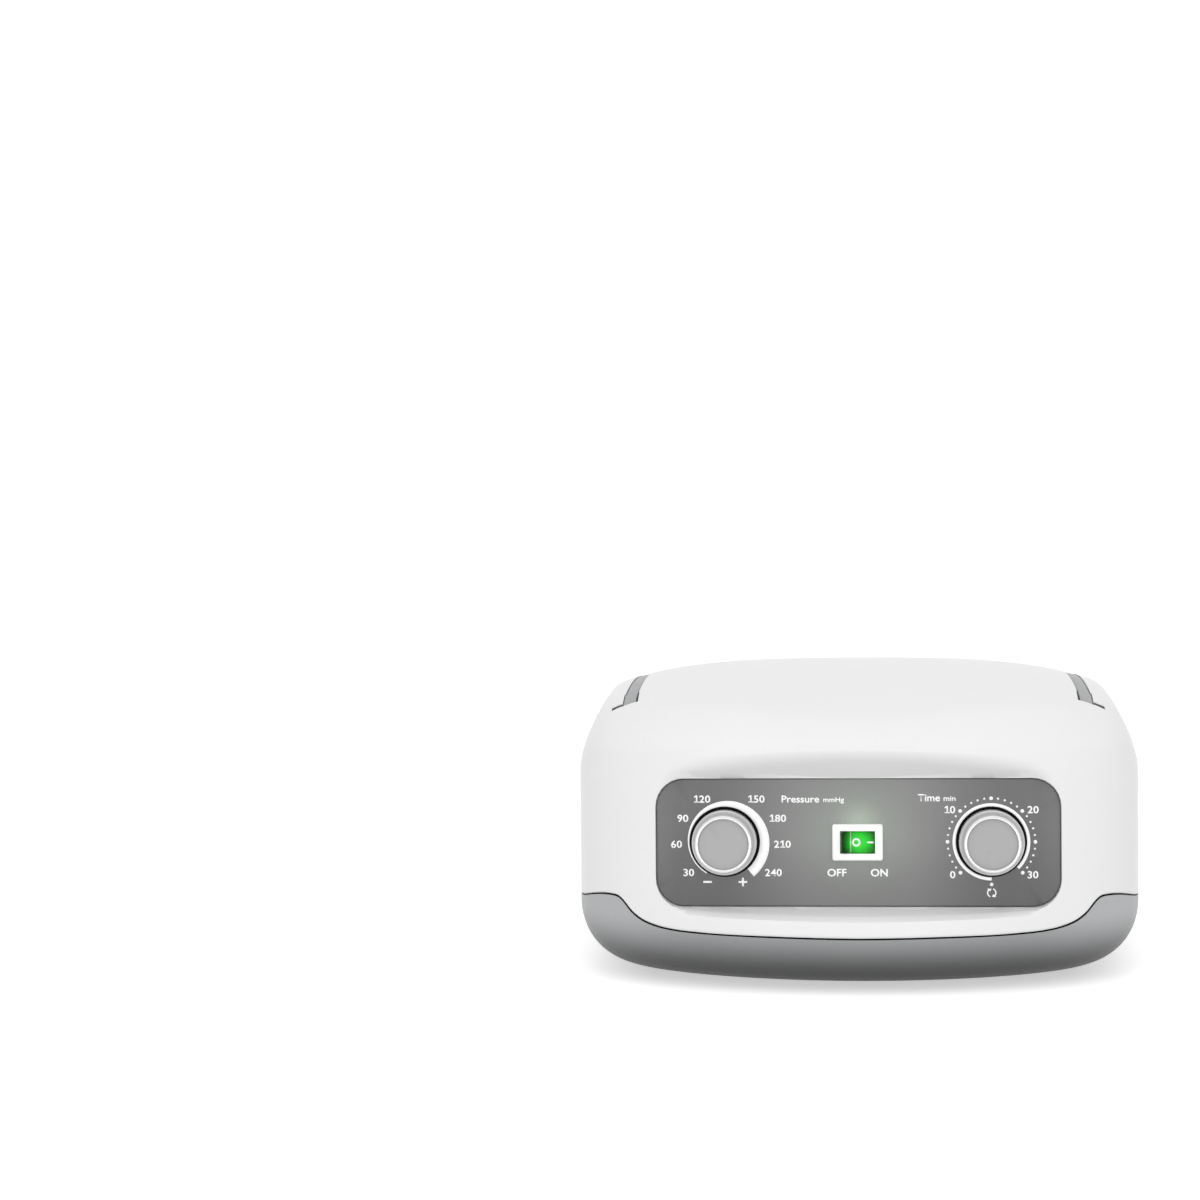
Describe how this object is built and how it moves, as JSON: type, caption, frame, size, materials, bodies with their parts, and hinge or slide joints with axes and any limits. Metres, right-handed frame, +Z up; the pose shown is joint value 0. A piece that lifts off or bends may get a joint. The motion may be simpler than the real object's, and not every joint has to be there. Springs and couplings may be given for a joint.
{
  "type": "compression therapy pump",
  "caption": "Table-top air pump for compression sleeves: domed white case on a grey base, tilted panel with pressure and timer knobs and a lit rocker switch, fold-down carry handle.",
  "frame": {"origin": "middle of the case in plan, on the surface that its feet stand on", "axes": "+X to the user's right along the case's length, +Y from the front panel to the back, +Z up"},
  "size_m": [0.2381, 0.184, 0.128],
  "materials": {
    "housing_white": "moulded ABS, fine satin gloss",
    "base_grey": "moulded ABS, fine texture",
    "panel_grey": "screen-printed polycarbonate plate",
    "well_black": "gloss",
    "knob_silver": "satin silver",
    "steel": "bright",
    "brass": "turned",
    "regulator_plastic": "natural nylon",
    "timer_case": "black",
    "switch_white": "gloss",
    "rocker_green": "lit translucent green",
    "lamp_green": "clear",
    "handle_grey": "satin silver-grey",
    "rubber_grey": "matt",
    "diaphragm_rubber": "matt",
    "socket_grey": "satin",
    "inlet_black": "satin",
    "fuse_glass": "clear",
    "filter_felt": "felt",
    "frame_zinc": "zinc plated",
    "core_iron": "laminated, varnished",
    "copper": "enamelled copper winding",
    "magnet": "sintered ferrite",
    "head_alloy": "die cast",
    "board_green": "solder mask"
  },
  "bodies": {
    "case": {"top_housing": "housing_white", "rear_panel": "socket_grey", "bottom_housing": "base_grey", "feet": "rubber_grey", "case_screws": "steel", "control_panel": "panel_grey", "pressure_well": "well_black", "timer_well": "well_black", "pressure_regulator_body": "regulator_plastic", "relief_spring": "steel", "relief_plunger": "regulator_plastic", "timer_body": "timer_case", "switch_body": "switch_white", "switch_lamp": "lamp_green", "handle_pins": "steel", "left_outlet_socket": "socket_grey", "right_outlet_socket": "socket_grey", "mains_inlet": "inlet_black", "inlet_pins": "steel", "fuse_holder": "inlet_black", "fuse_cap": "inlet_black", "glass_fuse": "fuse_glass", "intake_filter": "filter_felt", "filter_cover": "socket_grey", "compressor_frame": "frame_zinc", "isolators": "rubber_grey", "field_cores": "core_iron", "field_coils": "copper", "diaphragms": "diaphragm_rubber", "pump_heads": "head_alloy", "valve_body": "regulator_plastic", "valve_motor": "timer_case", "valve_bracket": "frame_zinc", "air_manifold": "regulator_plastic", "outlet_couplers": "rubber_grey", "circuit_board": "board_green", "board_posts": "regulator_plastic", "terminal_block": "regulator_plastic", "transformer": "timer_case"},
    "pressure_dial": {"pressure_knob": "knob_silver", "pressure_shaft": "steel"},
    "timer_dial": {"timer_knob": "knob_silver", "timer_shaft": "steel"},
    "rocker": {"switch_rocker": "rocker_green"},
    "handle": {"carry_handle": "handle_grey"},
    "piston": {"regulator_piston": "brass"},
    "rotor": {"valve_rotor": "brass"},
    "swinging_armature": {"armature": "head_alloy", "armature_magnets": "magnet"}
  },
  "joints": [
    {"name": "pressure_knob_turn", "type": "hinge", "parent": "case", "child": "pressure_dial", "pos_m": [-0.0552, -0.07297, 0.061], "axis": [0, 0.9945, -0.1045], "range_deg": [-100, 180]},
    {"name": "regulator_piston_slide", "type": "slide", "parent": "case", "child": "piston", "axis": [0, 0.9945, -0.1045], "range_m": [-0.0041, 0.0074], "deforming": ["relief_spring"]},
    {"name": "timer_knob_turn", "type": "hinge", "parent": "case", "child": "timer_dial", "pos_m": [0.0552, -0.07297, 0.061], "axis": [0, 0.9945, -0.1045], "range_deg": [-20, 295]},
    {"name": "power_switch_rock", "type": "hinge", "parent": "case", "child": "rocker", "pos_m": [0, -0.07397, 0.061], "axis": [0, -0.1045, -0.9945], "range_deg": [0, 20]},
    {"name": "handle_swing", "type": "hinge", "parent": "case", "child": "handle", "pos_m": [0, -0.033, 0.111], "axis": [1, 0, 0], "range_deg": [0, 90]},
    {"name": "valve_rotor_spin", "type": "hinge", "parent": "case", "child": "rotor", "pos_m": [-0.045, 0.05, 0.0594], "axis": [0, 0, 1], "continuous": true},
    {"name": "armature_stroke", "type": "slide", "parent": "case", "child": "swinging_armature", "axis": [1, 0, 0], "range_m": [-0.0015, 0.0015], "stiffness_N_per_m": 4000, "deforming": ["diaphragms"]}
  ],
  "couplings": [
    {"joint": "regulator_piston_slide", "follows": "pressure_knob_turn", "m_per_rad": 0.0023}
  ]
}
